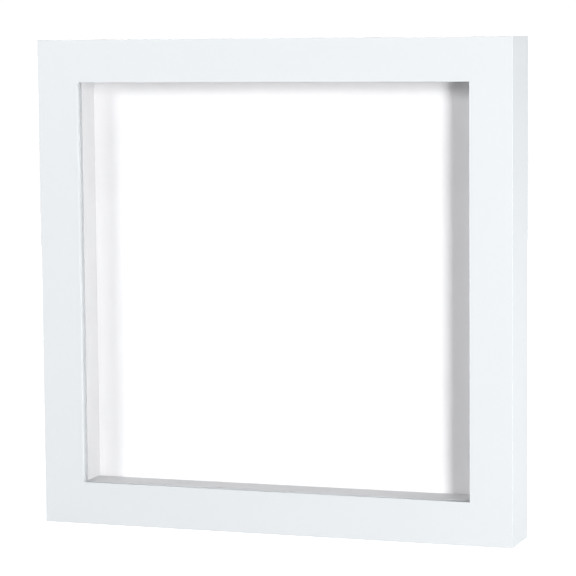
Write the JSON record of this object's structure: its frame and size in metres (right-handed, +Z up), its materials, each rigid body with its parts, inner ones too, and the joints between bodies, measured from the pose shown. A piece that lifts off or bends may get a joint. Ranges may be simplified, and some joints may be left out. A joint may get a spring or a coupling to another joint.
{
  "type": "shadow box",
  "caption": "Square deep frame with a glass front, spacers and a linen display board, closed at the back by a hardboard panel and turn buttons.",
  "frame": {"origin": "middle of the bottom of the whole bounding box, on the surface that the lower rail stands on", "axes": "+Z up, the glass faces -Y, the back with its fastenings faces +Y, +X is to the right seen from the front"},
  "size_m": [0.356, 0.0502, 0.356],
  "materials": {
    "white_lacquer": "satin",
    "clear_glass": "polished",
    "white_board": "matte",
    "white_linen": "matte",
    "white_foam": "matte",
    "brown_hardboard": "matte",
    "zinc_plate": "satin",
    "bright_steel": "satin",
    "grey_rubber": "matte"
  },
  "bodies": {
    "case": {"rail_bottom": "white_lacquer", "rail_left": "white_lacquer", "rail_top": "white_lacquer", "rail_right": "white_lacquer", "corner_nail_bottom_left_outer": "bright_steel", "corner_nail_bottom_left_inner": "bright_steel", "corner_nail_top_left_outer": "bright_steel", "corner_nail_top_left_inner": "bright_steel", "corner_nail_top_right_outer": "bright_steel", "corner_nail_top_right_inner": "bright_steel", "corner_nail_bottom_right_outer": "bright_steel", "corner_nail_bottom_right_inner": "bright_steel", "glass_pane": "clear_glass", "spacer_bottom": "white_board", "spacer_left": "white_board", "spacer_top": "white_board", "spacer_right": "white_board", "linen_cover": "white_linen", "foam_core": "white_foam", "backing_board": "brown_hardboard", "turn_button_screw_bottom_left": "bright_steel", "turn_button_screw_bottom_right": "bright_steel", "turn_button_screw_left_upper": "bright_steel", "turn_button_screw_left_lower": "bright_steel", "turn_button_screw_top_right": "bright_steel", "turn_button_screw_top_left": "bright_steel", "turn_button_screw_right_lower": "bright_steel", "turn_button_screw_right_upper": "bright_steel", "hanger_strap_left": "zinc_plate", "hanger_strap_right": "zinc_plate", "hanger_screw_left": "bright_steel", "hanger_screw_right": "bright_steel", "wall_bumper_left": "grey_rubber", "wall_bumper_right": "grey_rubber"},
    "turn_button_bottom_left": {"turn_button_bottom_left": "zinc_plate"},
    "turn_button_bottom_right": {"turn_button_bottom_right": "zinc_plate"},
    "turn_button_left_upper": {"turn_button_left_upper": "zinc_plate"},
    "turn_button_left_lower": {"turn_button_left_lower": "zinc_plate"},
    "turn_button_top_right": {"turn_button_top_right": "zinc_plate"},
    "turn_button_top_left": {"turn_button_top_left": "zinc_plate"},
    "turn_button_right_lower": {"turn_button_right_lower": "zinc_plate"},
    "turn_button_right_upper": {"turn_button_right_upper": "zinc_plate"},
    "hanger_ring_left": {"hanger_ring_left": "bright_steel"},
    "hanger_ring_right": {"hanger_ring_right": "bright_steel"}
  },
  "joints": [
    {"name": "turn_button_bottom_left_turn", "type": "hinge", "parent": "case", "child": "turn_button_bottom_left", "pos_m": [-0.1, 0.02025, 0.0161], "axis": [0, 1, 0], "continuous": true},
    {"name": "turn_button_bottom_right_turn", "type": "hinge", "parent": "case", "child": "turn_button_bottom_right", "pos_m": [0.1, 0.02025, 0.0161], "axis": [0, 1, 0], "continuous": true},
    {"name": "turn_button_left_upper_turn", "type": "hinge", "parent": "case", "child": "turn_button_left_upper", "pos_m": [-0.1619, 0.02025, 0.278], "axis": [0, 1, 0], "continuous": true},
    {"name": "turn_button_left_lower_turn", "type": "hinge", "parent": "case", "child": "turn_button_left_lower", "pos_m": [-0.1619, 0.02025, 0.078], "axis": [0, 1, 0], "continuous": true},
    {"name": "turn_button_top_right_turn", "type": "hinge", "parent": "case", "child": "turn_button_top_right", "pos_m": [0.1, 0.02025, 0.3399], "axis": [0, 1, 0], "continuous": true},
    {"name": "turn_button_top_left_turn", "type": "hinge", "parent": "case", "child": "turn_button_top_left", "pos_m": [-0.1, 0.02025, 0.3399], "axis": [0, 1, 0], "continuous": true},
    {"name": "turn_button_right_lower_turn", "type": "hinge", "parent": "case", "child": "turn_button_right_lower", "pos_m": [0.1619, 0.02025, 0.078], "axis": [0, 1, 0], "continuous": true},
    {"name": "turn_button_right_upper_turn", "type": "hinge", "parent": "case", "child": "turn_button_right_upper", "pos_m": [0.1619, 0.02025, 0.278], "axis": [0, 1, 0], "continuous": true},
    {"name": "hanger_ring_left_swing", "type": "hinge", "parent": "case", "child": "hanger_ring_left", "pos_m": [-0.1655, 0.02175, 0.238], "axis": [1, 0, 0], "range_deg": [0, 180]},
    {"name": "hanger_ring_right_swing", "type": "hinge", "parent": "case", "child": "hanger_ring_right", "pos_m": [0.1655, 0.02175, 0.238], "axis": [1, 0, 0], "range_deg": [0, 180]}
  ]
}
